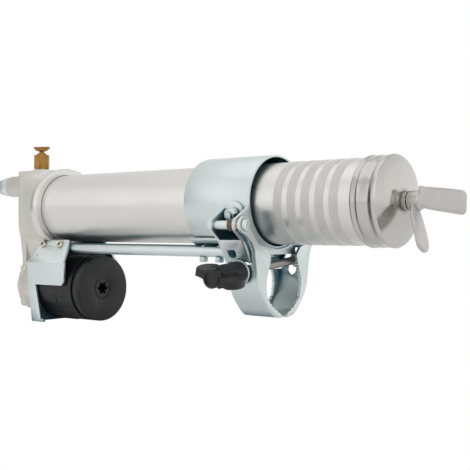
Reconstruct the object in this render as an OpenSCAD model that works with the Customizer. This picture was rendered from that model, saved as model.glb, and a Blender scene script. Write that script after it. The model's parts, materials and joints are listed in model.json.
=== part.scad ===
// Drill-powered grease applicator.
// Origin: centre of the drive cover's front face. +X runs along the barrel, +Z up.

/* [Barrel] */
// outside diameter of the grease barrel
barrel_d = 57; // [50:0.5:66]
// barrel length seen between the head flange and the end cap
barrel_l = 303.5; // [280:0.5:340]
// barrel wall
barrel_wall = 2; // [1.5:0.1:3]
// width of one knurled band
knurl_w = 6.6; // [4:0.1:8]
// distance between knurled bands
knurl_pitch = 11; // [9:0.1:14]
// height of a knurled band above the barrel
knurl_h = 0.3; // [0.1:0.1:0.8]

/* [Head] */
// outside diameter of the round barrel socket
ring_d = 68.4; // [66:0.2:76]
// width of the barrel socket
ring_w = 7.2; // [6:0.1:10]
// depth of the pump block behind the flange face
head_l = 43; // [42:0.5:48]
// height of the outlet above the barrel axis
outlet_z = 21; // [18:0.5:23]
// radius of the outlet thread
outlet_r = 5; // [4:0.1:6]
// pump plunger radius
plunger_r = 5; // [3:0.1:6]
// running clearance of round sliding parts
run_gap = 0.06; // [0.02:0.01:0.1]

/* [Drive] */
// gap between the guide rods and the drive cover below them
cover_gap = 1.55; // [1:0.05:6]
// front face of the drive cover ahead of the flange face
drive_front = 45.2; // [44:0.2:50]
// drive cover diameter
cover_d = 54.5; // [52:0.5:56]
// across-flats size of the inner hexagon of the star socket
socket_af = 6.5; // [5:0.1:8]
// gear module
gear_m = 1.2; // [1.15:0.01:1.22]
// eccentric throw, half of the plunger stroke
throw = 4; // [2:0.5:4.5]

/* [Rods and clamp] */
// guide rod radius
rod_r = 4; // [3.5:0.1:4.5]
// half distance between the guide rods
rod_y = 16.2; // [16:0.1:17]
// gap between the saddle and the guide rods
rod_gap = 0.225; // [0.1:0.005:1]
// gap between the barrel and the sleeve below it
sleeve_gap = 1.4; // [0.6:0.1:3]
// sleeve length
sleeve_l = 59.6; // [45:0.1:70]
// sheet thickness of the brackets and jaws
sheet = 2; // [1.5:0.1:2.2]
// front plane of the clamp jaws ahead of the flange face
jaw_front = 232; // [231:0.5:236]
// jaw depth along the barrel
jaw_l = 26; // [22:0.5:27]
// tilt of the clamp bolt
bolt_tilt = 6; // [2:0.5:7]
// knob length
knob_l = 30; // [22:1:36]

/* [Handle] */
// reach of one handle wing from the rod axis
wing_r = 35.5; // [26:0.5:40]
// width of one handle wing
wing_w = 16; // [10:0.5:18]
// pull rod radius
pull_r = 4; // [3:0.1:5]

/* [Hidden] */
$fn = 64;
barrel_r = barrel_d / 2;
bore_r = barrel_r - barrel_wall;
socket_d = 5.2;
seat_x = -socket_d;
gasket_t = 1;
cap_x = barrel_l;
barrel_end = cap_x + 13;
case_r = 24;
screw_r = 20.2;
case_x0 = -34;
case_x1 = -10;
chamber_r = throw + 12.5;
cam_x = -24;
cam_r = 11;
cam_w = 10.6;
plunger_l = 50;
box_x0 = case_x1 + sheet;
cover_t = 7;
groove_w = 2.7;
box_x1 = drive_front - cover_t;
sun_n = 12;
ring_n = 36;
orbit_r = gear_m * sun_n;
planet_a = 360 / 3;
gear_x0 = 5;
gear_w = 12;
sleeve_z = 1.46;
sleeve_wall = 1.4;
sleeve_r = barrel_r + sleeve_gap + sleeve_z + sleeve_wall;
saddle_r = sleeve_r + 0.3;
saddle_out = saddle_r + sheet - 0.3;
rod_z = sleeve_z - sqrt(pow(saddle_out + rod_gap + rod_r, 2) - rod_y * rod_y);
clamp_z = rod_z + 34;
drive_drop = rod_r - rod_z + cover_gap + cover_d / 2;
plunger_z0 = cam_r + throw + 0.4 - drive_drop;
rod_x0 = -11.5;
rod_x1 = 213;
tab_lean = 30.6;
tab_screw_x = [-5.6, 16.1];
tab_gap = 0.193;
cheek_y = cover_d / 2 + 0.65 + sheet;
cheek_z = -drive_drop - cover_d / 2 - 1.35;
tab_off = sheet + rod_r + tab_gap;
tab_z = rod_z + (tab_off - (cheek_y - rod_y) * cos(tab_lean)) / sin(tab_lean);
tab_u = (cheek_y - rod_y) * sin(tab_lean) + (rod_z - tab_z) * cos(tab_lean);
sleeve_x = 166.8;
sleeve_end = sleeve_x + sleeve_l;
wall_x0 = 204.7;
wall_x1 = 225;
pivot_y = 43.5;
pivot_z = -15;
pin_r = 3;
bolt_x = 218;
bolt_y = -30.4;
bolt_z = -47;
bolt_r = 3;
ear_a = 14.6;
ear_x = 214;
rod_bolt_x = [171.3, 186.4];
spring_x0 = 18.4;
spring_r = bore_r - 5.9;
zinc = [0.8, 0.84, 0.83];
cast = [0.74, 0.73, 0.71];
steel = [0.75, 0.75, 0.76];
black = [0.15, 0.15, 0.15];
brass = [0.74, 0.53, 0.24];

// barrel side seen from the flange face
module on_barrel() translate([-drive_front, 0, drive_drop]) children();

// clamp side, which keeps its height to the guide rods
module on_clamp() on_barrel() translate([0, 0, clamp_z]) children();

// drive side seen from below the flange face
module on_drive() translate([-drive_front, 0, 0]) children();

// round bar along X
module bar_x(r, x0, x1, y = 0, z = 0)
  translate([x0, y, z]) rotate([0, 90, 0]) cylinder(r = r, h = x1 - x0);

// tube along X
module tube_x(r1, r0, x0, x1, y = 0, z = 0)
  difference() {
    bar_x(r1, x0, x1, y, z);
    bar_x(r0, x0 - 1, x1 + 1, y, z);
  }

// cone along X
module cone_x(ra, rb, x0, x1, z = 0)
  translate([x0, 0, z]) rotate([0, 90, 0]) cylinder(r1 = ra, r2 = rb, h = x1 - x0);

// flat shape drawn in Y and Z, thick along X
module along_x(x0, x1)
  translate([x0, 0, 0]) rotate([90, 0, 90]) linear_extrude(x1 - x0) children();

// flat shape drawn in X and Z, thick along Y
module along_y(y0, y1)
  translate([0, y1, 0]) rotate([90, 0, 0]) linear_extrude(y1 - y0) children();

// turned shape drawn in radius and X
module turned() rotate([0, 90, 0]) rotate_extrude() children();

// both sides of the middle plane
module both_sides() {
  children();
  mirror([0, 1, 0]) children();
}

// hexagon bar along Z
module hex(af, h) cylinder(r = af / sqrt(3), h = h, $fn = 6);

// spur gear outline with straight-sided teeth
module gear_shape(n) {
  rp = gear_m * n / 2;
  ro = rp + 0.86 * gear_m;
  ri = rp - 1.2 * gear_m;
  circle(r = ri);
  for (i = [0 : n - 1]) rotate(i * 360 / n)
    polygon([for (p = [[ri - 0.4, -9.6], [rp, -6.4], [ro, -2.6], [ro, 2.6], [rp, 6.4], [ri - 0.4, 9.6]])
      p[0] * [cos(p[1] * 12 / n), sin(p[1] * 12 / n)]]);
}

// coil spring along Z: a round wire swept in steps along a helix
module coil(r, wire, pitch, turns, steps = 18, sides = 8) {
  n = turns * steps;
  points = [for (i = [0 : n], k = [0 : sides - 1])
    let (a = i * 360 / steps, q = r + wire * cos(k * 360 / sides))
    [q * cos(a), q * sin(a), wire + i * pitch / steps + wire * sin(k * 360 / sides)]];
  side_faces = [for (i = [0 : n - 1], k = [0 : sides - 1])
    let (a = i * sides + k, b = i * sides + (k + 1) % sides)
    each [[a, b, b + sides], [a, b + sides, a + sides]]];
  ends = [[for (k = [0 : sides - 1]) sides - 1 - k], [for (k = [0 : sides - 1]) n * sides + k]];
  polyhedron(points, concat(side_faces, ends));
}

// outline of the pump block, looking along the barrel
module block_shape() {
  polygon([[-24, -12], [-24, 26], [-17, 33], [17, 33], [24, 26], [24, -12],
    [18, -24], [14, -50], [-14, -50], [-18, -24]]);
  for (y = [-17, 17]) translate([y, 26]) circle(r = 7);
}

// pump block seen from above, with rounded back corners
module plan_shape() {
  r = 9;
  translate([-head_l + r, -24]) square([head_l - ring_w - r, 48]);
  translate([-head_l, -24 + r]) square([r + 1, 48 - 2 * r]);
  for (y = [-24 + r, 24 - r]) translate([-head_l + r, y]) circle(r = r);
}

// ribbed outline of the gear case
module gear_case_shape() {
  difference() {
    union() {
      circle(r = case_r);
      for (a = [15 : 30 : 345]) rotate(a) translate([case_r - 4, -3]) square([4.8, 6]);
    }
    circle(r = chamber_r);
  }
}

module head_casting() color(cast) on_barrel() difference() {
  union() {
    // barrel socket with a broken front edge
    bar_x(ring_d / 2, -ring_w, -0.6);
    cone_x(ring_d / 2, ring_d / 2 - 0.6, -0.6, 0);
    // neck between the socket and the pump block
    cone_x(27, 31.5, -ring_w - 6, -ring_w);
    // pump block and arm
    intersection() {
      along_x(-head_l, -ring_w) block_shape();
      translate([0, 0, -60]) linear_extrude(120) plan_shape();
    }
    // outlet boss with a stepped root
    bar_x(9.5, -76, -head_l + 4, 0, outlet_z);
    cone_x(9.5, 11.5, -head_l - 6, -head_l + 2, outlet_z);
    // pad under the vent valve
    translate([-35.5, 0, 30]) cylinder(r = 7.5, h = 5);
    // side ribs of the arm
    both_sides() along_y(13, 17.5) polygon([[-40, -50], [-40, -14], [-35, -14], [-35, -50]]);
    // gear case
    translate([0, 0, -drive_drop]) along_x(case_x0, case_x1) gear_case_shape();
  }
  // barrel socket bore and inlet
  bar_x(barrel_r + 0.35, seat_x - gasket_t, 1);
  bar_x(4, cam_x, 0, 0, 4);
  // plunger bore, outlet way and outlet thread
  translate([cam_x, 0, -60]) cylinder(r = plunger_r + run_gap, h = 60 + outlet_z + 3);
  bar_x(2, -60, cam_x, 0, outlet_z);
  bar_x(4.2, -66, -54, 0, outlet_z);
  bar_x(outlet_r, -77, -66, 0, outlet_z);
  // vent way
  translate([-35.5, 0, outlet_z]) cylinder(r = 1.5, h = 20);
  translate([-35.5, 0, 25]) cylinder(r = 3.5, h = 12);
  // drive chamber, room for the rear cover
  bar_x(chamber_r, case_x0 - 1, case_x1 + 1, 0, -drive_drop);
  bar_x(case_r + 0.8, -head_l - 1, case_x0, 0, -drive_drop);
  // reliefs for the guide rods, bracket tabs and arm front
  both_sides() {
    bar_x(rod_r + 0.4, rod_x0 - 0.4, 1, rod_y, rod_z);
    on_tab() along_y(-0.3, sheet + 0.3) translate([-18, -1]) square([20, tab_u + 6.2]);
  }
  translate([-12, -30, rod_z - 26]) cube([20, 60, 24]);
  // holes for the case screws
  for (a = [45 : 90 : 315]) translate([case_x0 - 1, 0, -drive_drop]) rotate([a, 0, 0])
    bar_x(1.7, 0, 40, 0, screw_r);
}

module barrel_gasket() color([0.1, 0.1, 0.1]) on_barrel()
  tube_x(barrel_r, bore_r - 3, seat_x - gasket_t, seat_x);

module vent_valve_body() color(brass) on_barrel() translate([-35.5, 0, 35]) difference() {
  union() {
    translate([0, 0, -9]) cylinder(r = 3.42, h = 9);
    cylinder(r = 6.2, h = 1.2);
    intersection() {
      translate([0, 0, 1.2]) rotate(8) hex(12, 11.8);
      translate([0, 0, 1.2]) cylinder(r1 = 8.4, r2 = 6.7, h = 11.8);
    }
    translate([0, 0, 13]) cylinder(r1 = 4.6, r2 = 3.4, h = 1.6);
  }
  translate([0, 0, -10]) cylinder(r = 1.2, h = 13);
  translate([0, 0, 2.7]) cylinder(r = 2.2 + run_gap, h = 13);
}

module vent_screw() color(brass) on_barrel() translate([-35.5, 0, 35]) difference() {
  union() {
    translate([0, 0, 2.4]) cylinder(r1 = 0.9, r2 = 2.2, h = 1.6);
    translate([0, 0, 4]) cylinder(r = 2.2, h = 12.4);
    translate([0, 0, 16]) cylinder(r1 = 2.2, r2 = 3.2, h = 1);
    rotate(26) intersection() {
      translate([-7, -2, 16.4]) cube([14, 4, 3.8]);
      translate([0, 8, 23.8]) rotate([90, 0, 0]) cylinder(r = 8.2, h = 16);
    }
  }
  translate([0, 0, 19.6]) cylinder(r = 1.1, h = 2);
}

module outlet_fitting() color(zinc) on_barrel() translate([0, 0, outlet_z]) difference() {
  union() {
    bar_x(outlet_r - run_gap, -76, -66.4);
    bar_x(8.4, -77.2, -76);
    translate([-87, 0, 0]) rotate([0, 90, 0]) intersection() {
      hex(15, 9.8);
      cylinder(r1 = 7.9, r2 = 9.4, h = 9.8);
    }
    bar_x(6.4, -89, -87);
    cone_x(6, 7.2, -96, -89);
  }
  bar_x(2.5, -80, -66);
  bar_x(4.2, -97, -80);
}

module check_ball() color(steel) on_barrel() translate([-56.4, 0, outlet_z]) sphere(r = 3.1);

module check_spring() color(steel) on_barrel() translate([-66.35, 0, outlet_z]) rotate([0, 90, 0])
  coil(2.9, 0.4, 2.48, 3, 12, 6);

module pump_plunger() color(steel) on_barrel() translate([cam_x, 0, plunger_z0]) difference() {
  union() {
    cylinder(r = plunger_r, h = plunger_l);
    translate([0, 0, plunger_l]) cylinder(r1 = plunger_r, r2 = plunger_r - 1, h = 1);
  }
  for (z = [plunger_l - 9, plunger_l - 5]) translate([0, 0, z]) difference() {
    cylinder(r = plunger_r + 1, h = 1.6);
    cylinder(r = plunger_r - 0.8, h = 1.6);
  }
}

module rear_cover() color(cast) on_drive() difference() {
  union() {
    translate([case_x0 - 7, 0, 0]) rotate([0, 90, 0]) cylinder(r = case_r - 1.3, h = 7, $fn = 12);
    cone_x(17, case_r - 3.2, case_x0 - 10, case_x0 - 7);
    // spigot into the case
    bar_x(chamber_r - run_gap, case_x0, case_x0 + 3);
    // bearing boss, ribs and screw lugs
    bar_x(11, case_x0 - 11.5, case_x0 - 9);
    for (a = [15 : 60 : 345]) rotate([a, 0, 0]) translate([case_x0 - 10.8, -1.5, 8]) cube([6, 3, 10.5]);
    for (a = [45 : 90 : 315]) rotate([a, 0, 0]) bar_x(4.2, case_x0 - 7.6, case_x0 - 0.3, 0, screw_r);
  }
  bar_x(7 + run_gap, case_x0 - 6, case_x0 + 4);
  for (a = [45 : 90 : 315]) rotate([a, 0, 0]) {
    bar_x(1.7, case_x0 - 12, case_x0 + 4, 0, screw_r);
    bar_x(3, case_x0 - 12, case_x0 - 4, 0, screw_r);
  }
}

// long screws through the rear cover, case and bracket into the housing
module case_screws() color(steel) on_drive() for (a = [45 : 90 : 315]) rotate([a, 0, 0])
  translate([case_x0 - 6.6, 0, screw_r]) rotate([0, 90, 0]) difference() {
    union() {
      cylinder(r = 2.7, h = 2.6);
      cylinder(r = 1.45, h = box_x0 - case_x0 + 6.6);
      cylinder(r = 1.2, h = box_x0 - case_x0 + 11.6);
    }
    translate([0, 0, -0.1]) hex(2.5, 1.6);
  }

module rear_bearing() color(brass) on_drive()
  tube_x(7, 5 + run_gap, case_x0 - 6, case_x0 + 3);

module planet_carrier() color(steel) on_drive() difference() {
  union() {
    // rear journal, eccentric and front journal
    bar_x(5, case_x0 - 5.5, cam_x - cam_w / 2);
    bar_x(cam_r, cam_x - cam_w / 2, cam_x + cam_w / 2, 0, -throw);
    bar_x(8, cam_x + cam_w / 2, box_x0 + 3);
    bar_x(9, box_x0 + 3, 0.4);
    // plate and planet pins
    bar_x(19, 0.4, 4.4);
    for (i = [0 : 2]) rotate([i * planet_a, 0, 0]) {
      bar_x(4, 4.4, 4.9, 0, orbit_r);
      bar_x(2.5, 4.4, gear_x0 + gear_w + 0.6, 0, orbit_r);
    }
  }
  for (i = [0 : 2]) rotate([i * planet_a + 60, 0, 0]) bar_x(3.5, -1, 6, 0, 12);
}

module planet_gear_shape() difference() {
  gear_shape(sun_n);
  circle(r = 2.5 + run_gap);
}

module planet_gear(i) color([0.5, 0.5, 0.52]) on_drive() rotate([i * planet_a, 0, 0])
  translate([0, 0, orbit_r]) along_x(gear_x0, gear_x0 + gear_w) rotate(15) planet_gear_shape();

module planet_gear_a() planet_gear(0);

module planet_gear_b() planet_gear(1);

module planet_gear_c() planet_gear(2);

// drive hub with sun gear at the back and star socket in front
module drive_hub() color([0.13, 0.13, 0.13]) on_drive() difference() {
  union() {
    along_x(gear_x0 - 0.3, gear_x0 + gear_w + 0.5) gear_shape(sun_n);
    bar_x(7.6, gear_x0 + gear_w + 0.5, drive_front - 0.8);
    bar_x(10.5, 20.5, 24.2);
  }
  translate([drive_front - 20, 0, 0]) rotate([0, 90, 0]) linear_extrude(21) intersection() {
    union() {
      rotate(90) circle(r = socket_af, $fn = 3);
      rotate(-90) circle(r = socket_af, $fn = 3);
    }
    circle(r = socket_af - 0.8);
  }
}

module front_bearing() color(brass) on_drive()
  tube_x(11, 7.6 + run_gap, 24.4, box_x1 - 1);

module carrier_bearing() color(brass) on_drive()
  tube_x(11, 8 + run_gap, case_x1 - 1, box_x0 + 3);

module gear_housing() color(black) on_drive() difference() {
  union() {
    translate([box_x0, 0, 0]) rotate([0, 90, 0])
      cylinder(r = cover_d / 2, h = box_x1 - groove_w - box_x0, $fn = 20);
    bar_x(cover_d / 2 - 1.6, box_x0, box_x1);
    // lengthwise ribs
    for (a = [0 : 36 : 324]) rotate([a, 0, 0])
      translate([box_x0, -3.2, cover_d / 2 - 3]) cube([24, 6.4, 3.3]);
  }
  // back bore, gear room with internal teeth, front room
  bar_x(11 + run_gap, box_x0 - 1, 1);
  bar_x(19.6, -0.2, 4.6);
  along_x(4.6, gear_x0 + gear_w + 1) difference() {
    circle(r = gear_m * (ring_n / 2 + 1.2));
    for (i = [0 : ring_n - 1]) rotate(i * 10)
      polygon([for (p = [[gear_m * 19.6, -3.3], [gear_m * 18, -2.1], [gear_m * 17.15, -0.9],
        [gear_m * 17.15, 0.9], [gear_m * 18, 2.1], [gear_m * 19.6, 3.3]]) p[0] * [cos(p[1]), sin(p[1])]]);
  }
  bar_x(21, gear_x0 + gear_w + 1, 26);
  bar_x(23.2, 26, box_x1 + 1);
  for (a = [45 : 90 : 315]) rotate([a, 0, 0]) bar_x(1.25, box_x0 - 1, box_x0 + 6, 0, screw_r);
}

module drive_cover() color(black) on_drive() difference() {
  union() {
    bar_x(cover_d / 2, box_x1, drive_front - 1);
    cone_x(cover_d / 2, cover_d / 2 - 1, drive_front - 1, drive_front);
    bar_x(23.2 - run_gap, 28, box_x1);
  }
  bar_x(7.6 + run_gap * 2, box_x1 - 2, drive_front + 1);
  bar_x(11 + run_gap, 27, box_x1 - 1);
  tube_x(20, 14, 27, box_x1 - 1);
  tube_x(9.6, 8.8, drive_front - 0.4, drive_front + 1);
}

// plane of the near bracket tab, which leans in over its rod
module on_tab() translate([0, -cheek_y, tab_z]) rotate([-tab_lean, 0, 0]) children();

// flat outline of the bracket's side cheek
module cheek_shape()
  difference() {
    polygon([[-19.4, tab_z], [30.4, tab_z], [30.2, 5.8 - drive_drop], [27.2, 2.6 - drive_drop],
      [-6.4, 2.6 - drive_drop], [0.4, cheek_z + 2.4], [4, cheek_z + 2.4], [4, cheek_z],
      [-11.2, cheek_z]]);
    translate([27.2, 5.6 - drive_drop]) difference() {
      translate([0, -4]) square(4);
      circle(r = 3);
    }
  }

module head_bracket() color(zinc) on_barrel() difference() {
  union() {
    both_sides() along_y(-cheek_y, -cheek_y + sheet) cheek_shape();
    // cross plate between the case and the housing
    along_x(case_x1, box_x0) polygon([[-cheek_y + sheet, rod_z - 5], [-cheek_y + sheet, cheek_z + 2.4],
      [-20, cheek_z], [20, cheek_z], [cheek_y - sheet, cheek_z + 2.4], [cheek_y - sheet, rod_z - 5]]);
    // upper tabs
    both_sides() on_tab() along_y(0, sheet) union() {
      polygon([[-16.6, -0.6], [-9.4, tab_u + 2.2], [-6.6, tab_u + 4.8], [23.4, tab_u + 4.8],
        [26.2, tab_u + 2.4], [29.8, -0.6]]);
      translate([-6.6, tab_u + 1.8]) circle(r = 3);
      translate([23.2, tab_u + 1.8]) circle(r = 3);
    }
  }
  // drive hole
  bar_x(chamber_r, case_x1 - 1, box_x0 + 1, 0, -drive_drop);
  for (a = [45 : 90 : 315]) translate([case_x1 - 1, 0, -drive_drop]) rotate([a, 0, 0])
    bar_x(1.7, 0, 5, 0, screw_r);
  // rod screws
  both_sides() for (x = tab_screw_x) translate([x, -rod_y, rod_z]) rotate([90 - tab_lean, 0, 0])
    cylinder(r = 2, h = 12);
}

module bracket_screws() color([0.8, 0.76, 0.62]) on_barrel() both_sides() for (x = tab_screw_x)
  translate([x, -rod_y, rod_z]) rotate([90 - tab_lean, 0, 0]) difference() {
    union() {
      translate([0, 0, 0.4]) cylinder(r = 1.7, h = tab_off);
      translate([0, 0, tab_off + 0.1]) cylinder(r1 = 3.2, r2 = 2.3, h = 1.8);
    }
    translate([0, 0, tab_off + 0.7]) hex(2.5, 2);
  }

// one guide rod with cross holes at both ends
module guide_rod(s) color(zinc) on_barrel() difference() {
  translate([0, s * rod_y, 0]) {
    bar_x(rod_r, rod_x0 + 0.6, rod_x1 - 0.6, 0, rod_z);
    cone_x(rod_r - 0.6, rod_r, rod_x0, rod_x0 + 0.6, rod_z);
    cone_x(rod_r, rod_r - 0.6, rod_x1 - 0.6, rod_x1, rod_z);
  }
  for (x = tab_screw_x) translate([x, s * rod_y, rod_z])
    rotate([-s * (90 - tab_lean), 0, 0]) cylinder(r = 1.75, h = 6);
  for (x = rod_bolt_x) translate([x, s * rod_y, rod_z - 5]) cylinder(r = 1.85, h = 12);
}

module guide_rod_near() guide_rod(-1);

module guide_rod_far() guide_rod(1);

module rod_bolts() color(zinc) on_barrel() both_sides() for (x = rod_bolt_x)
  translate([x, rod_y, rod_z]) {
    translate([0, 0, -rod_r - 3.8]) rotate(10) intersection() {
      hex(5.6, 3);
      cylinder(r1 = 2.7, r2 = 3.6, h = 2);
    }
    translate([0, 0, -rod_r - 1.8]) cylinder(r = 3, h = 1.5);
    translate([0, 0, -rod_r - 0.4]) cylinder(r = 1.75, h = rod_r * 2 + 0.6);
  }

// sleeve bolt axis: local +Z runs outwards, on both sides
module on_ears() both_sides() translate([ear_x, 0, sleeve_z]) rotate([90 + ear_a, 0, 0]) children();

module sleeve() color(zinc) on_barrel() difference() {
  tube_x(sleeve_r, sleeve_r - sleeve_wall, sleeve_x, sleeve_end, 0, sleeve_z);
  on_ears() cylinder(r = 2.7, h = 40);
}

// round-topped ear round a sleeve bolt
module ear() intersection() {
  tube_x(saddle_r + sheet - 0.3, saddle_r, 198, 226, 0, sleeve_z);
  translate([0, 0, sleeve_z]) rotate([90 + ear_a, 0, 0]) linear_extrude(50) union() {
    translate([ear_x, 0]) circle(r = 8.5);
    translate([203, -26]) square([22, 26]);
  }
}

// outline of the bracket's end walls
module wall_shape() {
  polygon([[-33.4, -2], [-37.5, -5], [-45, -9.6], [-48.2, -14], [-47, -19.5], [-40, -25.2], [-31, -41],
    [31, -41], [40, -25.2], [47, -19.5], [48.2, -14], [45, -9.6], [37.5, -5], [33.4, -2]]);
  for (y = [-pivot_y, pivot_y]) translate([y, pivot_z]) circle(r = 5.6);
}

module clamp_bracket() color(zinc) on_barrel() difference() {
  union() {
    // saddle under the sleeve with a tongue towards the head
    difference() {
      tube_x(saddle_r + sheet - 0.3, saddle_r, 163, 226, 0, sleeve_z);
      translate([100, -50, -24]) cube([200, 100, 80]);
      for (s = [-1, 1]) translate([162, s < 0 ? -50 : 22, -50]) cube([36, 28, 60]);
    }
    both_sides() ear();
    translate([0, 0, clamp_z]) {
      // end walls
      along_x(wall_x0, wall_x0 + sheet) wall_shape();
      along_x(wall_x1, wall_x1 + sheet) difference() {
        wall_shape();
        translate([-17, -50]) square([34, 14.5]);
        for (y = [-17, 17]) translate([y, -41]) circle(r = 5.5);
      }
      // leaning side plates
      both_sides() along_x(wall_x0 + 0.5, wall_x1 + 1)
        polygon([[-40, -25.2], [-31.4, -40.2], [-29.4, -40.2], [-38, -25.2]]);
    }
  }
  // room for the sleeve
  bar_x(saddle_r, 160, 240, 0, sleeve_z);
  // rods, pins, sleeve bolts, rod bolts
  both_sides() {
    bar_x(rod_r + 0.3, 150, rod_x1 + 4, rod_y, rod_z);
    bar_x(pin_r + run_gap, 200, 230, pivot_y, pivot_z + clamp_z);
    for (x = rod_bolt_x) translate([x, rod_y, rod_z]) cylinder(r = 1.9, h = 12);
  }
  on_ears() cylinder(r = 2.7, h = 45);
  // half-round window in the near side plate
  along_y(-60, 0) translate([213.4, rod_z]) difference() {
    circle(r = 3.6);
    translate([-5, 2]) square([10, 5]);
  }
  // room for the bolt end at the far side
  translate([209, 20, clamp_z - 50]) cube([30, 30, 19]);
}

module sleeve_bolts() color(zinc) on_barrel() on_ears() {
  translate([0, 0, sleeve_r - sleeve_wall - 1.9]) cylinder(r = 4.4, h = 1.5);
  translate([0, 0, sleeve_r - sleeve_wall - 0.6]) cylinder(r = 2.5, h = 11);
}

module sleeve_nuts() color(zinc) on_barrel() on_ears() difference() {
  union() {
    translate([0, 0, saddle_r + sheet + 0.1]) cylinder(r = 5, h = 1);
    translate([0, 0, saddle_r + sheet + 1.1]) rotate(12) intersection() {
      hex(8, 4);
      cylinder(r1 = 5.6, r2 = 4.2, h = 4.4);
    }
  }
  cylinder(r = 2.55, h = 60);
}

// inner edge of a jaw from the pivot ear to the tip
jaw_in = [[38.6, -17.6], [29, -28], [19.5, -30.5], [14.6, -36.5], [15.6, -41], [17.6, -46.5], [19.4, -52],
  [19.9, -58], [18.4, -65.5], [12.8, -71.4], [3.6, -77.2]];
// outer edge of a jaw from the tip to the pivot ear
jaw_out = [[3.4, -79.6], [12, -78.2], [16.6, -74.6], [21.2, -69.4], [25.2, -64.2], [28, -58], [29.6, -50],
  [30.6, -42], [32.2, -33], [35.5, -27.5], [41, -22.5], [46, -20]];
// jaw wall's inner face, one sheet inside the outer edge
jaw_wall = [[33.8, -26.2], [30.2, -32.4], [28.6, -42], [27.6, -50], [26.1, -57.4], [23.5, -63], [19.7, -68],
  [15.2, -73], [11.2, -76.2], [3.4, -77.6]];

// point at distance t, 0 to 1, along the toothed part of the inner edge
function tooth_at(t) = let (s = t * 7.999, i = floor(s), f = s - i)
  jaw_in[3 + min(i, 6)] * (1 - f) + jaw_in[4 + min(i, 6)] * f;

module jaw_web() difference() {
  union() {
    polygon(concat(jaw_in, jaw_out));
    translate([pivot_y, pivot_z]) circle(r = 5.8);
    polygon([[38.6, -17.6], [46, -20], [41, -12]]);
  }
  for (i = [0 : 17]) translate(tooth_at(i / 18 * 0.875)) rotate(45) circle(r = 0.9, $fn = 4);
}

// one clamp jaw, drawn on the far side
module jaw(bolt_hole_r, bolt_hole_z) difference() {
  union() {
    along_x(jaw_front - sheet, jaw_front) jaw_web();
    // rear web below the bracket
    along_x(jaw_front - jaw_l, jaw_front - jaw_l + sheet) intersection() {
      jaw_web();
      translate([-5, -100]) square([60, 53]);
    }
    // outer wall with its rear edge swept forward
    intersection() {
      along_x(jaw_front - jaw_l, jaw_front) polygon(concat(jaw_out, jaw_wall));
      along_y(0, 60) polygon([[jaw_front + 1, -24], [jaw_front - 3.5, -26], [jaw_front - 4.5, -41.5],
        [jaw_front - 15, -43], [jaw_front - jaw_l + 3, -46], [jaw_front - jaw_l, -50],
        [jaw_front - jaw_l, -77], [jaw_front - jaw_l + 3, -82], [jaw_front + 1, -82]]);
    }
  }
  bar_x(pin_r + run_gap, jaw_front - 10, jaw_front + 5, pivot_y, pivot_z);
  translate([bolt_x, 0, bolt_hole_z]) rotate([-90, 0, 0]) cylinder(r = bolt_hole_r, h = 60);
}

module jaw_near() color(zinc) on_clamp() mirror([0, 1, 0]) jaw(4.3, bolt_z);

// the far jaw's hole is a slot, open at the top, that leaves the bolt free at every jaw angle
module jaw_far() color(zinc) on_clamp() difference() {
  jaw(4, bolt_z);
  translate([bolt_x - 4, 20, bolt_z]) cube([8, 20, 12]);
}

// pivot pin with a domed head, on one side
module pivot_pin(s) color(zinc) on_clamp() {
  bar_x(pin_r, wall_x0 - 1, jaw_front + 0.4, s * pivot_y, pivot_z);
  bar_x(4.2, wall_x0 - 2.4, wall_x0 - 0.2, s * pivot_y, pivot_z);
  translate([jaw_front + 0.4, s * pivot_y, pivot_z]) rotate([0, 90, 0]) cylinder(r1 = 4.2, r2 = 3.9, h = 1);
  translate([jaw_front + 1.4, s * pivot_y, pivot_z]) rotate([0, 90, 0]) cylinder(r1 = 3.9, r2 = 2.2, h = 1);
}

module pivot_pin_near() pivot_pin(-1);

module pivot_pin_far() pivot_pin(1);

module pivot_bushes() color(brass) on_clamp() both_sides()
  tube_x(4.4, pin_r + run_gap, wall_x1 - 5.4, wall_x1 - 0.2, pivot_y, pivot_z);

module pivot_washers() color(steel) on_clamp() both_sides() {
  tube_x(5.4, pin_r + run_gap, wall_x1 + sheet + 0.1, wall_x1 + sheet + 1.2, pivot_y, pivot_z);
  tube_x(5, pin_r + run_gap, wall_x1 + sheet + 1.5, jaw_front - sheet - 0.3, pivot_y, pivot_z);
}

// clamp bolt axis: local +Z runs outwards on the near side
module on_bolt() on_clamp() translate([bolt_x, bolt_y, bolt_z]) rotate([90 + bolt_tilt, 0, 0]) children();

module clamp_bolt() color([0.62, 0.6, 0.56]) on_bolt() {
  translate([0, 0, -66]) cylinder(r = bolt_r, h = 88);
  translate([0, 0, 22]) cylinder(r1 = bolt_r, r2 = bolt_r - 0.8, h = 0.8);
  translate([0, 0, -71]) intersection() {
    hex(10, 5);
    cylinder(r1 = 5, r2 = 7, h = 5);
  }
  translate([0, 0, -66]) cylinder(r = 6, h = 1);
}

module knob_washer() color(zinc) on_bolt() difference() {
  translate([0, 0, 1.3]) cylinder(r = 8.6, h = 1.6);
  cylinder(r = bolt_r + 0.3, h = 6);
}

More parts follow.
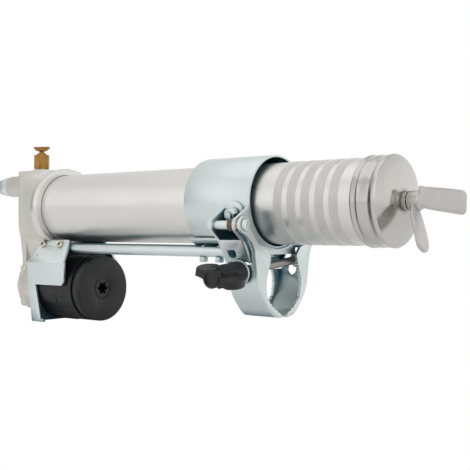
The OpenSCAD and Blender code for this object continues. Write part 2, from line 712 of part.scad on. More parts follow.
module wing_knob() color(black) on_bolt() translate([0, 0, 3.2]) difference() {
  union() {
    cylinder(r1 = 8, r2 = 7.6, h = 3);
    translate([0, 0, 3]) cylinder(r1 = 7.4, r2 = 6.6, h = knob_l - 4);
    translate([0, 0, knob_l - 1]) cylinder(r1 = 6.6, r2 = 5.6, h = 1);
    for (a = [0 : 45 : 315]) rotate(a + 22) translate([6.6, 0, 2]) cylinder(r = 1.3, h = knob_l - 8);
    // two wings
    rotate(-18) intersection() {
      translate([-17, -2.8, 8]) cube([34, 5.6, knob_l - 10]);
      translate([0, 5, 18.5]) rotate([90, 0, 0]) cylinder(r = 17, h = 10);
    }
  }
  translate([0, 0, -1]) cylinder(r = bolt_r + 0.1, h = 23);
  translate([0, 0, knob_l - 1]) cylinder(r = 4, h = 2);
}

module barrel() color([0.84, 0.83, 0.81]) on_barrel() difference() {
  union() {
    bar_x(barrel_r, seat_x, barrel_end);
    // knurled bands
    for (i = [0 : 4]) bar_x(barrel_r + knurl_h, 243.8 + i * knurl_pitch, 243.8 + i * knurl_pitch + knurl_w);
  }
  bar_x(bore_r, seat_x - 1, barrel_end + 1);
}

// end cap drawn as radius over length
module cap_shape() polygon([for (p = [[cap_x, barrel_r + 0.3], [cap_x + 0.4, barrel_r + 1.3],
  [cap_x + 1.4, barrel_r + 1.6], [cap_x + 2.6, barrel_r + 1.3], [cap_x + 3, barrel_r + 0.9],
  [cap_x + 4.4, barrel_r + 0.9],
  [cap_x + 5, barrel_r + 1.3], [cap_x + 9.6, barrel_r + 1.3], [cap_x + 10.4, barrel_r + 0.9],
  [cap_x + 13.4, barrel_r + 0.95], [cap_x + 15.4, barrel_r + 1.5], [cap_x + 16.8, barrel_r + 1.6],
  [cap_x + 17.6, barrel_r + 1], [cap_x + 17.8, barrel_r - 0.4], [cap_x + 19.6, 22], [cap_x + 21.6, 15],
  [cap_x + 22.8, 9.5], [cap_x + 23, 6.3], [cap_x + 21.6, 6.3], [cap_x + 21.4, 9.5], [cap_x + 20.2, 15],
  [cap_x + 18.2, 21.5], [cap_x + 16.6, barrel_r - 1], [cap_x + 15, barrel_r + 0.3]]) [p[1], p[0]]]);

module end_cap() color(steel) on_barrel() turned() cap_shape();

module cap_bush() color([0.12, 0.12, 0.12]) on_barrel() difference() {
  union() {
    bar_x(6.2, cap_x + 19.4, cap_x + 26.2);
    bar_x(9, cap_x + 18.4, cap_x + 20.4);
  }
  bar_x(pull_r + run_gap, cap_x + 17, cap_x + 28);
}

module pull_rod() color(steel) on_barrel() {
  bar_x(pull_r, 12, cap_x + 32);
  bar_x(5.6, 12.5, 15.5);
}

// one swept wing of the handle, pointing up
module wing() intersection() {
  along_y(-wing_w / 2, wing_w / 2) polygon([[cap_x + 30, 0], [cap_x + 30, 4], [cap_x + 32.4, 8],
    [cap_x + 36, 12.4], [cap_x + 40.4, 18.6], [cap_x + 44, 26], [cap_x + 46.6, wing_r],
    [cap_x + 49, wing_r], [cap_x + 46.6, 25.4], [cap_x + 42.8, 17.4], [cap_x + 38.6, 10.8],
    [cap_x + 35.6, 6], [cap_x + 34.4, 0]]);
  translate([cap_x, 0, 0]) rotate([0, 90, 0]) linear_extrude(80) union() {
    translate([-wing_r + wing_w / 2, 0]) circle(r = wing_w / 2);
    translate([-wing_r + wing_w / 2, -wing_w / 2]) square([wing_r - wing_w / 2, wing_w]);
  }
}

module wing_handle() color(steel) on_barrel() difference() {
  union() {
    bar_x(6.4, cap_x + 26.6, cap_x + 33);
    cone_x(6.4, 5.4, cap_x + 33, cap_x + 35);
    translate([0, 0, 1.6]) rotate([-94, 0, 0]) wing();
    rotate([151, 0, 0]) wing();
  }
  bar_x(pull_r + 0.02, cap_x + 20, cap_x + 32.2);
}

module follower_piston() color([0.1, 0.1, 0.1]) on_barrel() difference() {
  union() {
    bar_x(bore_r - run_gap, 8, 11);
    bar_x(bore_r - 1.2, 11, 22);
    bar_x(bore_r - run_gap, 22, 25);
  }
  bar_x(bore_r - 4, 17, 26);
  bar_x(pull_r + run_gap, 7, 26);
  bar_x(6, 12, 18);
}

module follower_spring() color(steel) on_barrel() translate([spring_x0, 0, 0]) rotate([0, 90, 0])
  coil(spring_r, 1.3, (cap_x + 16 - 2.6 - spring_x0) / 13, 13);

head_casting();
barrel_gasket();
vent_valve_body();
vent_screw();
outlet_fitting();
check_ball();
check_spring();
pump_plunger();
rear_cover();
case_screws();
rear_bearing();
planet_carrier();
planet_gear_a();
planet_gear_b();
planet_gear_c();
drive_hub();
front_bearing();
carrier_bearing();
gear_housing();
drive_cover();
head_bracket();
bracket_screws();
guide_rod_near();
guide_rod_far();
rod_bolts();
sleeve();
clamp_bracket();
sleeve_bolts();
sleeve_nuts();
jaw_near();
jaw_far();
pivot_pin_near();
pivot_pin_far();
pivot_bushes();
pivot_washers();
clamp_bolt();
knob_washer();
wing_knob();
barrel();
end_cap();
cap_bush();
pull_rod();
wing_handle();
follower_piston();
follower_spring();
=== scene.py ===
"""Looks of the drill-powered grease applicator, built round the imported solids."""

import json
import math

import bmesh
import bpy
from mathutils import Matrix, Vector


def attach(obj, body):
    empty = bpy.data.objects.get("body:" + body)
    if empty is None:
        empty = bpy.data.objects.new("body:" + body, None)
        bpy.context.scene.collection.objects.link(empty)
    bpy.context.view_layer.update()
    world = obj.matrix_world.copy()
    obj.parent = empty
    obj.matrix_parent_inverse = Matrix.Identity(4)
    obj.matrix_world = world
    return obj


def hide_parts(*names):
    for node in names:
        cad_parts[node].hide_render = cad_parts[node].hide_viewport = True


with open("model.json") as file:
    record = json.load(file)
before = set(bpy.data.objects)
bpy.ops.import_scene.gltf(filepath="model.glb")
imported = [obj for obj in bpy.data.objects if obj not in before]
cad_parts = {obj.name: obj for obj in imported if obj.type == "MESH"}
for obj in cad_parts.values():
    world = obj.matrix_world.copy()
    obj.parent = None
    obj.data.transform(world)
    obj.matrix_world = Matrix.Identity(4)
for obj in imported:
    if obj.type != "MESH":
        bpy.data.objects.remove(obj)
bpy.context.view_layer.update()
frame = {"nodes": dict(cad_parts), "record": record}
NODES = frame["nodes"]

# places in metres: the barrel's axis, the head's flange face, the barrel's end and the jaws' front web
AXIS_Z = 0.0668
FLANGE_X = -0.0452
CAP_X = FLANGE_X + 0.3035
JAW_X = FLANGE_X + 0.232
# a jaw's outer fold runs between these two heights, and not near the middle
FOLD_TOP = AXIS_Z - 0.034
FOLD_BOTTOM = FOLD_TOP - 0.0765
FOLD_MIN_Y = 0.012
# width of the fold's round, and of the small ones on a jaw's other corners
FOLD_ROUND = 0.0014
JAW_ROUND = 0.0003

# the barrel's knurled bands: start, step, the knurled share of a step, and a limit in steps before a sixth
KNURL_X = FLANGE_X + 0.2438
KNURL_STEP = 0.011
KNURL_SHARE = 0.6
KNURL_END = 4.9
DIAMONDS_AROUND = 104.0
DIAMOND_PITCH = 0.00172

# the part of the head casting that is turned bright: from here towards the barrel, above this height
RING_X = FLANGE_X - 0.0073
RING_Z = 0.02

# the clamp bolt where it passes the near jaw, its tilt in degrees, its shank and its thread
BOLT_AT = (FLANGE_X + 0.218, -0.0304, AXIS_Z - 0.047)
BOLT_TILT = 6
BOLT_R = 0.003
THREAD_DEPTH = 0.00045
THREAD_PITCH = 0.001
THREAD_FROM = -0.0651
THREAD_TO = 0.0228
THREAD_RUN_OUT = 0.0008

# every corner of these solids gets a round of this width
ROUNDS = {
    "drive_cover": 0.0005, "vent_valve_body": 0.00025, "vent_screw": 0.0004, "outlet_fitting": 0.0003,
    "sleeve_nuts": 0.0002, "rod_bolts": 0.0002, "bracket_screws": 0.00015, "guide_rod_near": 0.0002,
    "guide_rod_far": 0.0002, "knob_washer": 0.00025, "sleeve": 0.0003, "head_bracket": 0.0004,
    "clamp_bracket": 0.0003, "wing_knob": 0.0006, "rear_cover": 0.0008, "head_casting": 0.0008,
    "gear_housing": 0.0006,
}
# these keep their own mesh and are only shaded smooth
SMOOTH_ONLY = ("barrel", "cap_bush", "pull_rod", "pivot_pin_near", "pivot_pin_far", "drive_hub")

# end cap, in millimetres: barrel radius, and the dome's outer radius, foot, rise, span and hole
CAP_R = 28.5
DOME_R = 27.2
DOME_FOOT = 18.35
DOME_RISE = 4.6
DOME_SPAN = 27.8
DOME_HOLE_R = 6.3

# wing handle, in millimetres: its hub's outline as (past the barrel's end, radius)
HUB = [(26.6, 4.05), (26.6, 5.9), (26.9, 6.3), (27.3, 6.4), (32.6, 6.4), (33.5, 6.25), (34.3, 5.8),
       (34.8, 5.2), (35, 4.2), (35, 0.05), (32.3, 0.05), (32.3, 4.05)]
# each blade's middle line and half width, as (distance from the hub's axis, value)
ACROSS_LINE = [(-2.6, 34.3), (3, 34.5), (6, 35.2), (9.3, 36.6), (11.6, 37.9), (14.8, 39.9), (18, 41.7),
               (21.8, 43.7), (25.7, 45.4), (30, 46.9), (33, 47.4), (35.4, 47.75)]
ACROSS_WIDTH = [(-2.6, 5.8), (-2.4, 6.3), (-1.9, 6.6), (5, 6.9), (15, 7.5), (26, 7.9), (30, 7.9),
                (32, 7.7), (33.4, 7.1), (34.5, 6.1), (35.38, 4.4)]
LOWER_LINE = [(4.2, 31.6), (6, 32.1), (9, 33.2), (13, 34.9), (18, 37.3), (25.7, 40.9), (30, 42.4),
              (33, 43.1), (35.4, 43.5)]
LOWER_WIDTH = [(4.2, 4.9), (6.5, 5.6), (10, 7.2), (13.5, 8.3), (20, 8.7), (26, 8.7), (29, 8.2),
               (31.5, 7.1), (33.2, 5.7), (34.5, 3.9), (35.2, 2.2), (35.38, 1.2)]
# sections follow closely at a blade's root and tip, and evenly between
ROOT_STEPS = (0, 0.12, 0.35, 0.7, 1.2)
BLADE_EVEN_TO = 30
TIP_STATIONS = [31, 31.9, 32.7, 33.4, 34, 34.5, 34.9, 35.2, 35.38]
BLADE_TIP = 35.4
BLADE_HALF_THICK = 1.15

# stage
FLOOR_Z = -0.0287
FLOOR_HALF = 4
AIM = (0.1, 0, 0.05)

# camera: direction in degrees, place, and focal length in pixels of the square photo
CAMERA_AZ = 39.6
CAMERA_EL = 0.37
CAMERA_AT = (0.60217 + FLANGE_X, -0.50144, -0.01788 + AXIS_Z)
FOCAL_PX = 891.4
PHOTO_PX = 470
SENSOR_MM = 36


class Mat:
    """A Principled material and short helpers that add nodes to it."""

    def __init__(self, name, color, metallic, roughness):
        self.m = bpy.data.materials.new(name)
        self.m.use_nodes = True
        self.t = self.m.node_tree
        self.b = self.t.nodes["Principled BSDF"]
        self.b.inputs["Base Color"].default_value = (*color, 1)
        self.b.inputs["Metallic"].default_value = metallic
        self.b.inputs["Roughness"].default_value = roughness
        self.pos = self.node("ShaderNodeTexCoord").outputs["Object"]

    def node(self, kind, **props):
        n = self.t.nodes.new(kind)
        for k, v in props.items():
            setattr(n, k, v)
        return n

    def link(self, a, b):
        self.t.links.new(a, b)

    def put(self, value, socket):
        """Gives a socket a number, a colour or another node's output."""
        if isinstance(value, (int, float)):
            socket.default_value = value
        elif isinstance(value, tuple):
            socket.default_value = (*value, 1)
        else:
            self.link(value, socket)

    def math(self, op, a, b=0.0):
        n = self.node("ShaderNodeMath", operation=op)
        self.put(a, n.inputs[0])
        self.put(b, n.inputs[1])
        return n.outputs[0]

    def split(self, v=None):
        n = self.node("ShaderNodeSeparateXYZ")
        self.link(v or self.pos, n.inputs[0])
        return n.outputs

    def noise(self, scale, detail, vector=None):
        n = self.node("ShaderNodeTexNoise")
        n.inputs["Scale"].default_value = scale
        n.inputs["Detail"].default_value = detail
        n.inputs["Roughness"].default_value = 0.55
        self.link(vector or self.pos, n.inputs["Vector"])
        return n.outputs["Fac"]

    def spread(self, v, lo, hi, a, b):
        """Maps the span from lo to hi onto the span from a to b."""
        n = self.node("ShaderNodeMapRange")
        for k, x in zip(("From Min", "From Max", "To Min", "To Max"), (lo, hi, a, b)):
            n.inputs[k].default_value = x
        self.link(v, n.inputs["Value"])
        return n.outputs[0]

    def tint(self, fac, dark, light):
        """Mixes two colours, each a triple or a node's output."""
        n = self.node("ShaderNodeMix", data_type="RGBA")
        for value, i in ((fac, 0), (dark, 6), (light, 7)):
            self.put(value, n.inputs[i])
        return n.outputs[2]

    def lathe(self, z0):
        """Coordinates along X and outwards from an axis at height z0."""
        x, y, z = self.split()
        dz = self.math("SUBTRACT", z, z0)
        r = self.math("SQRT", self.math("ADD", self.math("MULTIPLY", y, y), self.math("MULTIPLY", dz, dz)))
        n = self.node("ShaderNodeCombineXYZ")
        self.link(x, n.inputs[0])
        self.link(r, n.inputs[1])
        return n.outputs[0]

    def recess(self, distance):
        """Ambient occlusion for painting shade into a colour: 1 on open faces, towards 0 in corners and
        hollows.
        """
        n = self.node("ShaderNodeAmbientOcclusion", samples=24)
        n.inputs["Distance"].default_value = distance
        return n.outputs["AO"]

    def rough(self, v):
        self.link(v, self.b.inputs["Roughness"])

    def base(self, v):
        self.link(v, self.b.inputs["Base Color"])

    def bump(self, height, strength, distance):
        n = self.node("ShaderNodeBump")
        n.inputs["Strength"].default_value = strength
        n.inputs["Distance"].default_value = distance
        self.link(height, n.inputs["Height"])
        self.link(n.outputs[0], self.b.inputs["Normal"])


def shade(color, k):
    return tuple(min(1, c * k) for c in color)


def satin_aluminium():
    """Turned, satin barrel with five diamond-knurled bands, darkened with painted shade in the knurls'
    valleys.
    """
    m = Mat("satin_aluminium", (0.75, 0.735, 0.71), 1.0, 0.36)
    x, y, z = m.split()
    angle = m.math("ARCTAN2", y, m.math("SUBTRACT", z, AXIS_Z))
    lengths = m.noise(900, 2, m.lathe(AXIS_Z))
    cloud = m.noise(22, 3)
    m.rough(m.spread(m.math("ADD", lengths, cloud), 0.6, 1.4, 0.3, 0.46))
    # place along the barrel, counted in steps from band to band
    step = m.math("DIVIDE", m.math("SUBTRACT", x, KNURL_X), KNURL_STEP)
    part = m.math("FRACT", step)
    inside = m.math("MULTIPLY", m.math("LESS_THAN", part, KNURL_SHARE), m.math("GREATER_THAN", step, 0.0))
    inside = m.math("MULTIPLY", inside, m.math("LESS_THAN", step, KNURL_END))
    around = m.math("MULTIPLY", angle, DIAMONDS_AROUND)
    along = m.math("MULTIPLY", x, 2 * math.pi / DIAMOND_PITCH)
    one = m.math("SINE", m.math("ADD", around, along))
    two = m.math("SINE", m.math("SUBTRACT", around, along))
    diamonds = m.math("MULTIPLY", m.math("MAXIMUM", one, two), inside)
    # painted shade: the colour is darkened in the knurl's valleys, where shade falls
    knurl_groove_shade = m.math("MULTIPLY", m.spread(diamonds, -0.5, 0.8, 0.3, 0.0), inside)
    m.base(m.tint(knurl_groove_shade, (0.80, 0.785, 0.755), (0.24, 0.24, 0.23)))
    fine = m.math("MULTIPLY", lengths, 0.06)
    m.bump(m.math("ADD", diamonds, fine), 0.8, 0.00018)
    return m.m


def zinc_plate():
    """Clear zinc plating: cool and slightly cloudy, with painted dark blue-green shade in its recesses."""
    m = Mat("zinc_plate", (0.66, 0.73, 0.72), 1.0, 0.3)
    cloud = m.noise(28, 4)
    grain = m.noise(160, 3)
    open_face = m.tint(m.spread(cloud, 0.3, 0.7, 0, 1), (0.73, 0.80, 0.785), (0.79, 0.855, 0.845))
    # painted shade: ambient occlusion tints corners and recesses towards a dark blue-green
    m.base(m.tint(m.spread(m.recess(0.03), 0.3, 0.7, 0, 1), (0.12, 0.26, 0.32), open_face))
    m.rough(m.spread(grain, 0.3, 0.7, 0.36, 0.46))
    m.bump(m.noise(420, 3), 0.05, 0.0003)
    return m.m


def cast_metal(name, color, roughness, grain, uneven=0.08):
    """Die casting; the part of the head casting round the barrel is turned bright."""
    m = Mat(name, color, 0.85, roughness)
    x, y, z = m.split()
    ring = m.math("MULTIPLY", m.math("GREATER_THAN", x, RING_X), m.math("LESS_THAN", x, 0.0))
    ring = m.math("MULTIPLY", ring, m.math("GREATER_THAN", z, RING_Z))
    cast = m.tint(m.noise(35, 4), shade(color, 1 - 1.7 * uneven), shade(color, 1 + 1.5 * uneven))
    m.base(m.tint(ring, cast, (0.78, 0.765, 0.74)))
    rough = m.spread(m.noise(120, 3), 0.3, 0.7, roughness - uneven, roughness + uneven)
    m.rough(m.math("SUBTRACT", rough, m.math("MULTIPLY", ring, 0.2)))
    blasted = m.math("MULTIPLY", m.noise(900, 4), m.math("SUBTRACT", 1.0, ring))
    marks = m.math("MULTIPLY", m.noise(1200, 2, m.lathe(AXIS_Z)), m.math("MULTIPLY", ring, 0.12))
    m.bump(m.math("ADD", blasted, marks), grain, 0.0004)
    return m.m


def turned_steel(name, color, roughness, z0=0.0, flank_reflection=False):
    """Bright steel with fine turning marks and painted shade in its corners and hollows; the last argument
    adds a painted dark reflection on the beads' flanks at mid height.
    """
    m = Mat(name, color, 1.0, roughness)
    marks = m.noise(1400, 2, m.lathe(z0))
    m.rough(m.spread(marks, 0.3, 0.7, roughness - 0.05, roughness + 0.05))
    # painted shade: ambient occlusion darkens the colour in corners, grooves and where parts meet
    unshaded = m.spread(m.recess(0.004), 0.35, 0.95, 0, 1)
    if flank_reflection:
        # painted reflection: flanks facing slightly back near the axis height are darkened as if mirroring
        # dark surroundings
        across = m.split(m.node("ShaderNodeNewGeometry").outputs["Normal"])[0]
        height = m.math("ABSOLUTE", m.math("SUBTRACT", m.split()[2], AXIS_Z - 0.002))
        flank = m.math("MULTIPLY", m.spread(across, -0.16, -0.03, 1, 0), m.spread(height, 0.006, 0.022, 1, 0))
        unshaded = m.math("MULTIPLY", unshaded, m.math("SUBTRACT", 1.0, flank))
    m.base(m.tint(unshaded, shade(color, 0.25), shade(color, 1.04)))
    m.b.inputs["Anisotropic"].default_value = 0.6
    m.link(m.node("ShaderNodeTangent", direction_type="RADIAL", axis="X").outputs[0], m.b.inputs["Tangent"])
    m.bump(marks, 0.05, 0.0002)
    return m.m


def brass_like(name, color, roughness):
    """Turned brass; the pivot bushes far along X have gone brown."""
    m = Mat(name, color, 1.0, roughness)
    far_along = m.math("GREATER_THAN", m.split()[0], 0.1)
    fresh = m.tint(m.noise(90, 4), shade(color, 0.72), shade(color, 1.2))
    brown = m.tint(m.noise(200, 4), (0.10, 0.075, 0.06), (0.22, 0.15, 0.10))
    m.base(m.tint(far_along, fresh, brown))
    m.rough(m.spread(m.noise(300, 3), 0.3, 0.7, roughness - 0.06, roughness + 0.1))
    m.bump(m.noise(700, 3), 0.1, 0.0003)
    return m.m


def plastic(name, color, roughness, grain=0.25):
    """Moulded plastic or rubber with a fine grain."""
    m = Mat(name, color, 0.0, roughness)
    m.base(m.tint(m.noise(60, 3), shade(color, 0.85), shade(color, 1.2)))
    m.rough(m.spread(m.noise(200, 3), 0.3, 0.7, roughness - 0.06, roughness + 0.08))
    m.bump(m.noise(1500, 2), grain, 0.0003)
    return m.m


MATERIALS = {
    "satin_aluminium": satin_aluminium(),
    "zinc_plate": zinc_plate(),
    "cast_aluminium": cast_metal("cast_aluminium", (0.73, 0.71, 0.66), 0.52, 0.22),
    "cast_steel": cast_metal("cast_steel", (0.55, 0.525, 0.505), 0.28, 0.004, 0.02),
    # bright steel also carries the painted dark reflection on its beads' flanks
    "bright_steel": turned_steel("bright_steel", (0.58, 0.57, 0.54), 0.17, AXIS_Z, True),
    "dark_steel": turned_steel("dark_steel", (0.3, 0.3, 0.31), 0.38),
    "thread_steel": turned_steel("thread_steel", (0.50, 0.46, 0.42), 0.36),
    "yellow_zinc": turned_steel("yellow_zinc", (0.72, 0.66, 0.50), 0.3),
    "brass": brass_like("brass", (0.36, 0.19, 0.05), 0.2),
    "bronze": brass_like("bronze", (0.5, 0.33, 0.17), 0.45),
    "black_plastic": plastic("black_plastic", (0.006, 0.006, 0.0065), 0.4),
    "black_hub": plastic("black_hub", (0.014, 0.014, 0.014), 0.38),
    "seal_rubber": plastic("seal_rubber", (0.02, 0.02, 0.02), 0.6, 0.15),
}

SLOT_OF = {s["node"]: s["material_slot"] for s in frame["record"]["subparts"]}
BODY_OF = {n: b for b, ns in frame["record"]["behaviour"]["bodies"].items() for n in ns}

for name, o in NODES.items():
    o.data.materials.clear()
    o.data.materials.append(MATERIALS[SLOT_OF[name]])


def smooth(mesh, degrees):
    """Smooth shading with edges kept sharp past an angle."""
    bm = bmesh.new()
    bm.from_mesh(mesh)
    limit = math.radians(degrees)
    for f in bm.faces:
        f.smooth = True
    for e in bm.edges:
        e.smooth = len(e.link_faces) == 2 and e.calc_face_angle(0) < limit
    bm.to_mesh(mesh)
    bm.free()


def stand_in(name, mesh):
    """Shows mesh in place of a CAD node, on the node's body and slot."""
    o = bpy.data.objects.new(name + "_look", mesh)
    bpy.context.scene.collection.objects.link(o)
    mesh.materials.clear()
    mesh.materials.append(MATERIALS[SLOT_OF[name]])
    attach(o, BODY_OF[name])
    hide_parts(name)
    return o


def clean_copy(name):
    """The node's mesh with its seams welded and flat triangles joined."""
    mesh = NODES[name].data.copy()
    bm = bmesh.new()
    bm.from_mesh(mesh)
    bmesh.ops.remove_doubles(bm, verts=bm.verts, dist=2e-6)
    bmesh.ops.dissolve_limit(bm, angle_limit=math.radians(0.4), verts=bm.verts, edges=bm.edges)
    bm.to_mesh(mesh)
    bm.free()
    return mesh


def softened(name, width, mesh=None):
    """Real edges: every corner of the solid gets a small round."""
    o = stand_in(name, mesh or clean_copy(name))
    b = o.modifiers.new("edge", "BEVEL")
    b.width = width
    b.segments = 2
    b.limit_method = "ANGLE"
    b.angle_limit = math.radians(32)
    b.use_clamp_overlap = True
    deps = bpy.context.evaluated_depsgraph_get()
    rounded = bpy.data.meshes.new_from_object(o.evaluated_get(deps))
    o.modifiers.clear()
    o.data = rounded
    smooth(rounded, 30)


def jaw_fold(e):
    """Edge between a jaw's front web and its outer wall."""
    if len(e.link_faces) != 2 or any(abs(v.co.x - JAW_X) > 1e-5 for v in e.verts):
        return False
    mid = (e.verts[0].co + e.verts[1].co) / 2
    side = [f.normal for f in e.link_faces if abs(f.normal.x) < 0.1]
    if not side or mid.z > FOLD_TOP or mid.z < FOLD_BOTTOM:
        return False
    return side[0].y * mid.y > 0 and abs(mid.y) > FOLD_MIN_Y


def folded(name, fold, pick):
    """Sheet metal whose outer fold gets a wide round before the small ones."""
    mesh = clean_copy(name)
    bm = bmesh.new()
    bm.from_mesh(mesh)
    edges = [e for e in bm.edges if pick(e)]
    bmesh.ops.bevel(bm, geom=edges, offset=fold, offset_type="OFFSET", segments=4, profile=0.5,
                    affect="EDGES", clamp_overlap=True)
    bm.to_mesh(mesh)
    bm.free()
    return mesh


for name in ("jaw_near", "jaw_far"):
    softened(name, JAW_ROUND, folded(name, FOLD_ROUND, jaw_fold))

for name, width in ROUNDS.items():
    softened(name, width)

for name in SMOOTH_ONLY:
    smooth(NODES[name].data, 30)


def bands(bm, rings, closed):
    """Joins rows of points into a skin, closed on itself or capped at both ends."""
    rows = [[bm.verts.new(p) for p in ring] for ring in rings]
    for lo, hi in zip(rows, rows[1:] + (rows[:1] if closed else [])):
        for k in range(len(lo)):
            n = (k + 1) % len(lo)
            bm.faces.new((lo[k], lo[n], hi[n], hi[k]))
    if not closed:
        bm.faces.new(rows[0])
        bm.faces.new(rows[-1])


def threaded(bm, place):
    """Adds a shank with a rolled thread, swept along the Z of place."""
    around = 20
    rows = int((THREAD_TO - THREAD_FROM) / THREAD_PITCH * 5)
    grid = []
    for i in range(rows + 1):
        z = THREAD_FROM + (THREAD_TO - THREAD_FROM) * i / rows
        run_out = min(1, (THREAD_TO - z) / THREAD_RUN_OUT)
        ring = []
        for k in range(around):
            a = 2 * math.pi * k / around
            flank = abs(2 * ((z / THREAD_PITCH - k / around) % 1) - 1)
            q = (BOLT_R - THREAD_DEPTH * flank) * (0.75 + 0.25 * run_out)
            ring.append(bm.verts.new(place @ Vector((q * math.cos(a), q * math.sin(a), z))))
        grid.append(ring)
    for lo, hi in zip(grid, grid[1:]):
        for k in range(around):
            n = (k + 1) % around
            bm.faces.new((lo[k], lo[n], hi[n], hi[k]))
    bm.faces.new(list(reversed(grid[0])))
    bm.faces.new(grid[-1])


def clamp_bolt_look():
    """The bolt's own head with a threaded shank in place of its plain one."""
    place = Matrix.Translation(BOLT_AT) @ Matrix.Rotation(math.radians(90 + BOLT_TILT), 4, "X")
    back = place.inverted()
    bm = bmesh.new()
    bm.from_mesh(clean_copy("clamp_bolt"))
    shank = []
    for f in bm.faces:
        spots = [back @ v.co for v in f.verts]
        if all(p.xy.length < BOLT_R + 0.0002 and p.z > THREAD_FROM - 0.0004 for p in spots):
            shank.append(f)
    bmesh.ops.delete(bm, geom=shank, context="FACES")
    threaded(bm, place)
    mesh = bpy.data.meshes.new("clamp_bolt_thread")
    bm.to_mesh(mesh)
    bm.free()
    smooth(mesh, 42)
    stand_in("clamp_bolt", mesh)


def lathe_rings(outline, around):
    """Rings round the barrel axis from an outline of (x, r) in millimetres past the barrel's end."""
    turn = [2 * math.pi * k / around for k in range(around)]
    return [[(CAP_X + x / 1000, r / 1000 * math.cos(a), AXIS_Z + r / 1000 * math.sin(a)) for a in turn]
            for x, r in outline]


def finish_look(name, bm, sharp):
    """Turns the built skin into the node's stand-in."""
    bmesh.ops.recalc_face_normals(bm, faces=bm.faces)
    mesh = bpy.data.meshes.new(name + "_shape")
    bm.to_mesh(mesh)
    bm.free()
    smooth(mesh, sharp)
    stand_in(name, mesh)


def cap_outline():
    """Rolled rim, two grooves, polished shoulder and shallow dome of the cap."""
    # distance past the barrel's end, and height over the barrel's radius
    rim = [(0, 0.3), (0.15, 0.9), (0.5, 1.3), (1, 1.55), (1.5, 1.6), (2.1, 1.45), (2.6, 1.15), (3, 0.9),
           (4.3, 0.9), (4.6, 1.05), (4.9, 1.25), (5.3, 1.3), (9.3, 1.3), (9.8, 1.2), (10.2, 0.98),
           (10.5, 0.9), (13.2, 0.95), (13.9, 1.05), (14.6, 1.25), (15.4, 1.48), (16.1, 1.58)]
    line = [(x, CAP_R + over) for x, over in rim]
    # shoulder, then the dome down to the bush
    for i in range(1, 9):
        a = math.radians(i * 9.5)
        line.append((16.1 + 2.3 * math.sin(a), CAP_R - 0.8 + 2.4 * math.cos(a)))
    for i in range(1, 15):
        r = DOME_R - (DOME_R - DOME_HOLE_R) * i / 14
        line.append((DOME_FOOT + DOME_RISE * (1 - (r / DOME_SPAN) ** 2) ** 0.8, r))
    inner = [(21.4, DOME_HOLE_R), (21.2, 9.5), (20.4, 15), (18.6, 21.5), (16.6, CAP_R - 1), (15, CAP_R + 0.3)]
    return line + inner


def end_cap_look():
    bm = bmesh.new()
    bands(bm, lathe_rings(cap_outline(), 128), True)
    finish_look("end_cap", bm, 38)


def between(rows, t):
    """The value at t on a line of (place, value) rows."""
    for (a, va), (b, vb) in zip(rows, rows[1:]):
        if t <= b:
            return va + (vb - va) * (t - a) / (b - a)
    return rows[-1][1]


def blade(bm, turn, path, widths, twist=0.0, lift=0.0):
    """One swept blade: a row of rounded sections along its curved middle line."""
    place = Matrix.Translation((CAP_X, 0, AXIS_Z + lift)) @ Matrix.Rotation(math.radians(turn), 4, "X")
    first = path[0][0]
    even_from = first + ROOT_STEPS[-1]
    stations = [first + t for t in ROOT_STEPS]
    stations += [even_from + (BLADE_EVEN_TO - even_from) * i / 20 for i in range(1, 21)]
    stations += TIP_STATIONS
    around = 28
    rings = []
    for t in stations:
        x = between(path, t)
        lo, hi = max(t - 2, first), min(t + 2, BLADE_TIP)
        slope = math.atan2(between(path, hi) - between(path, lo), hi - lo)
        half = between(widths, t)
        thick = BLADE_HALF_THICK * min(1, 0.35 + (BLADE_TIP + 0.1 - t) * 0.5, 0.6 + (t - first) * 0.8)
        ring = []
        for k in range(around):
            a = 2 * math.pi * k / around
            c, q = math.cos(a), math.sin(a)
            v = half * math.copysign(abs(c) ** 0.3, c)
            n = thick * math.copysign(abs(q) ** 0.6, q)
            px = x + n * math.cos(slope) + v * math.sin(math.radians(twist)) * min(1, t / 10)
            py = v * math.cos(math.radians(twist))
            pz = t - n * math.sin(slope)
            ring.append(place @ Vector((px / 1000, py / 1000, pz / 1000)))
        rings.append(ring)
    bands(bm, rings, False)


def wing_handle_look():
    """The hub with one blade across its end and one reaching down."""
    bm = bmesh.new()
    bands(bm, lathe_rings(HUB, 64), True)
    blade(bm, -96, ACROSS_LINE, ACROSS_WIDTH, lift=0.0024)
    blade(bm, 151, LOWER_LINE, LOWER_WIDTH, twist=-4)
    finish_look("wing_handle", bm, 50)


clamp_bolt_look()
end_cap_look()
wing_handle_look()


def seen_white(tree, shader, out):
    """Camera rays see plain white, all other rays see the shader."""
    path = tree.nodes.new("ShaderNodeLightPath")
    mix = tree.nodes.new("ShaderNodeMixShader")
    tree.links.new(path.outputs["Is Camera Ray"], mix.inputs[0])
    tree.links.new(shader, mix.inputs[1])
    kind = "ShaderNodeBackground" if out.bl_idname.endswith("World") else "ShaderNodeEmission"
    white = tree.nodes.new(kind)
    white.inputs["Color"].default_value = (1, 1, 1, 1)
    white.inputs["Strength"].default_value = 1
    tree.links.new(white.outputs[0], mix.inputs[2])
    tree.links.new(mix.outputs[0], out.inputs["Surface"])


def floor_material():
    m = bpy.data.materials.new("floor_white")
    m.use_nodes = True
    t = m.node_tree
    t.nodes.clear()
    out = t.nodes.new("ShaderNodeOutputMaterial")
    d = t.nodes.new("ShaderNodeBsdfDiffuse")
    d.inputs["Color"].default_value = (0.93, 0.93, 0.93, 1)
    seen_white(t, d.outputs[0], out)
    return m


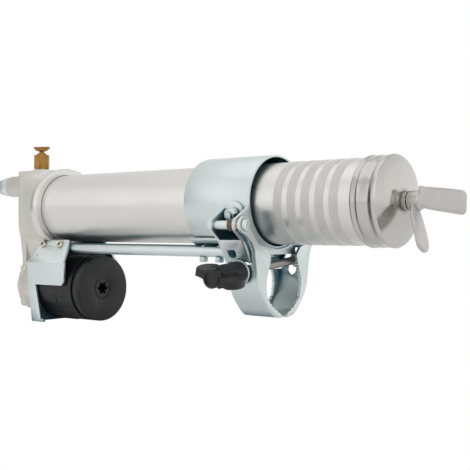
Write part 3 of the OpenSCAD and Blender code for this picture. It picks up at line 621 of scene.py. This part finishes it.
mesh = bpy.data.meshes.new("floor")
corners = [(FLOOR_HALF * i, FLOOR_HALF * j, FLOOR_Z) for i, j in ((-1, -1), (1, -1), (1, 1), (-1, 1))]
mesh.from_pydata(corners, [], [(0, 1, 2, 3)])
mesh.materials.append(floor_material())
floor = bpy.data.objects.new("floor", mesh)
bpy.context.scene.collection.objects.link(floor)


def lamp(name, place, size, watts):
    """A rectangular softbox that faces the middle of the part."""
    data = bpy.data.lights.new(name, "AREA")
    data.shape = "RECTANGLE"
    data.size, data.size_y = size
    data.energy = watts
    o = bpy.data.objects.new(name, data)
    o.location = place
    o.rotation_euler = (Vector(place) - Vector(AIM)).to_track_quat("Z", "Y").to_euler()
    bpy.context.scene.collection.objects.link(o)


lamp("softbox_top", (0.1, -0.1, 1.1), (1.6, 1.1), 2.2)
lamp("softbox_left", (-0.9, -0.8, 0.55), (1.0, 0.8), 0.7)
lamp("softbox_right", (1.1, -0.5, 0.6), (0.9, 0.9), 0.9)
lamp("softbox_far", (1.0, 1.1, 0.25), (1.0, 0.7), 0.12)


def studio_world():
    """A bright studio, dimmer overhead, with a dark opening low on the far side and one behind the head."""
    world = bpy.data.worlds.new("studio")
    bpy.context.scene.world = world
    world.use_nodes = True
    tree = world.node_tree
    tree.nodes.clear()
    out = tree.nodes.new("ShaderNodeOutputWorld")
    coord = tree.nodes.new("ShaderNodeTexCoord")
    axes = tree.nodes.new("ShaderNodeSeparateXYZ")
    tree.links.new(coord.outputs["Generated"], axes.inputs[0])

    def ramp(axis, lo, hi, a, b, kind="SMOOTHSTEP"):
        n = tree.nodes.new("ShaderNodeMapRange")
        n.interpolation_type = kind
        for k, v in zip(("From Min", "From Max", "To Min", "To Max"), (lo, hi, a, b)):
            n.inputs[k].default_value = v
        tree.links.new(axes.outputs[axis], n.inputs["Value"])
        return n.outputs[0]

    def combine(kind, a, b):
        n = tree.nodes.new("ShaderNodeMath")
        n.operation = kind
        for v, socket in zip((a, b), n.inputs):
            if isinstance(v, (int, float)):
                socket.default_value = v
            else:
                tree.links.new(v, socket)
        return n.outputs[0]

    glow = ramp("Z", 0.05, 0.9, 0.97, 0.64, "LINEAR")
    low_far_side = combine("MULTIPLY", ramp("Z", 0.0, 0.16, 1, 0), ramp("Y", 0.3, 0.75, 0, 0.06))
    behind_head = combine("MULTIPLY", ramp("Z", 0.3, 0.6, 1, 0), ramp("X", -0.9, -0.74, 0.85, 0))
    for dark in (low_far_side, behind_head):
        glow = combine("MULTIPLY", glow, combine("SUBTRACT", 1, dark))
    sky = tree.nodes.new("ShaderNodeBackground")
    sky.inputs["Color"].default_value = (1, 1, 1, 1)
    tree.links.new(glow, sky.inputs["Strength"])
    seen_white(tree, sky.outputs[0], out)


studio_world()


def photo_camera():
    """The camera fitted to the photo."""
    az, el = math.radians(CAMERA_AZ), math.radians(CAMERA_EL)
    back = Vector((math.sin(az) * math.cos(el), -math.cos(az) * math.cos(el), math.sin(el)))
    right = Vector((math.cos(az), math.sin(az), 0))
    up = back.cross(right)
    data = bpy.data.cameras.new("camera")
    data.sensor_width = SENSOR_MM
    data.lens = FOCAL_PX / PHOTO_PX * SENSOR_MM
    data.clip_start = 0.01
    camera = bpy.data.objects.new("camera", data)
    turn = Matrix((right, up, back)).transposed().to_4x4()
    camera.matrix_world = Matrix.Translation(CAMERA_AT) @ turn
    bpy.context.scene.collection.objects.link(camera)
    bpy.context.scene.camera = camera


photo_camera()
bpy.context.scene.view_settings.view_transform = "Standard"
